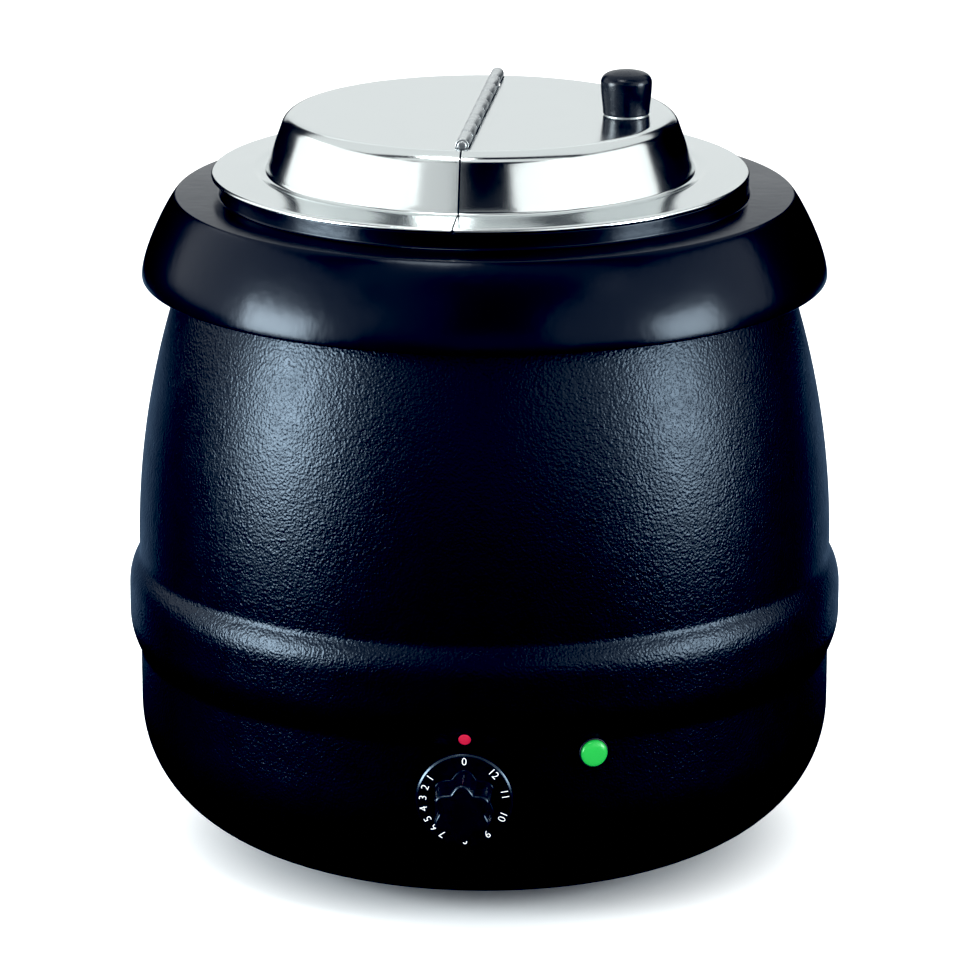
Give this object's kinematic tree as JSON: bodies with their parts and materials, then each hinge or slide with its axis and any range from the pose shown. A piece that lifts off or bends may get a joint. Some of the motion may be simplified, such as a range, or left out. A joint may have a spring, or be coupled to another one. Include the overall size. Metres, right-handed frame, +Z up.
{
  "type": "soup kettle",
  "caption": "Round wet-heat soup kettle with a raised-band casing, flared collar, lift-out pot, folding two-part lid, numbered thermostat dial and pilot lamp.",
  "frame": {"origin": "on the kettle's round axis, on the surface that its feet stand on", "axes": "+Z up; the dial faces -Y; the supply gland faces +Y; +X is to the right as seen by a person facing the dial"},
  "size_m": [0.3449, 0.3795, 0.3796],
  "materials": {
    "casing_paint": "hammered semi-gloss powder coat, very dark blue-black",
    "collar_plastic": "glossy black moulding with a slight orange peel",
    "foot_rubber": "matte black",
    "gasket_rubber": "matte",
    "pan_steel": "drawn stainless sheet",
    "pot_steel": "satin stainless sheet with a polished rim",
    "lid_steel": "polished stainless sheet with faint circular grain",
    "hinge_steel": "polished stainless",
    "knob_plastic": "semi-gloss black",
    "dial_plastic": "glossy black with printed numbers",
    "lamp_green": "green translucent lens",
    "control_plastic": "moulded black",
    "control_ceramic": "off-white heat-proof moulding",
    "zinc_steel": "zinc-plated",
    "brass_fitting": "plain",
    "copper_tube": "drawn copper",
    "element_sheath": "oxidised heater sheath",
    "shield_metal": "bright sheet",
    "blanket": "glass-fibre mat",
    "lead_insulation": "silicone-covered lead"
  },
  "bodies": {
    "base": {"outer_shell": "casing_paint", "base_plate": "zinc_steel", "rubber_feet": "foot_rubber", "foot_screws": "zinc_steel", "foot_nuts": "zinc_steel", "collar": "collar_plastic", "collar_screws": "zinc_steel", "water_pan": "pan_steel", "pan_gasket": "gasket_rubber", "insulation_blanket": "blanket", "heating_element": "element_sheath", "element_clamp": "zinc_steel", "clamp_nut": "zinc_steel", "heat_shield": "shield_metal", "shield_nut": "zinc_steel", "thermal_cutout": "control_plastic", "thermostat_body": "control_ceramic", "thermostat_screws": "zinc_steel", "thermostat_bulb": "copper_tube", "capillary_tube": "copper_tube", "terminal_block": "control_ceramic", "terminal_screws": "brass_fitting", "earth_screw": "brass_fitting", "earth_nut": "brass_fitting", "cord_gland": "control_plastic", "gland_nut": "control_plastic", "lamp_bezel": "control_plastic", "lamp_lens": "lamp_green", "lamp_nut": "control_plastic", "thermostat_leads": "lead_insulation", "heater_leads": "lead_insulation", "lamp_leads": "lead_insulation"},
    "pot": {"soup_pot": "pot_steel"},
    "lid_left": {"lid_left_half": "lid_steel", "hinge_leaf_left": "hinge_steel", "hinge_pin": "hinge_steel"},
    "lid_right": {"lid_right_half": "lid_steel", "hinge_leaf_right": "hinge_steel", "knob_washer": "hinge_steel", "lid_knob": "knob_plastic", "knob_screw": "zinc_steel"},
    "dial": {"dial_spindle": "zinc_steel", "dial_knob": "dial_plastic"}
  },
  "joints": [
    {"name": "pot_lift", "type": "slide", "parent": "base", "child": "pot", "axis": [0, 0, 1], "range_m": [0, 0.27]},
    {"name": "lid_lift", "type": "slide", "parent": "pot", "child": "lid_left", "axis": [0, 0, 1], "range_m": [0, 0.12]},
    {"name": "lid_fold", "type": "hinge", "parent": "lid_left", "child": "lid_right", "pos_m": [-0.002, 0, 0.3597], "axis": [-0.0454, -0.999, 0], "range_deg": [0, 160]},
    {"name": "dial_turn", "type": "hinge", "parent": "base", "child": "dial", "pos_m": [0, -0.18, 0.072], "axis": [0, 1, 0], "range_deg": [0, 315]}
  ]
}
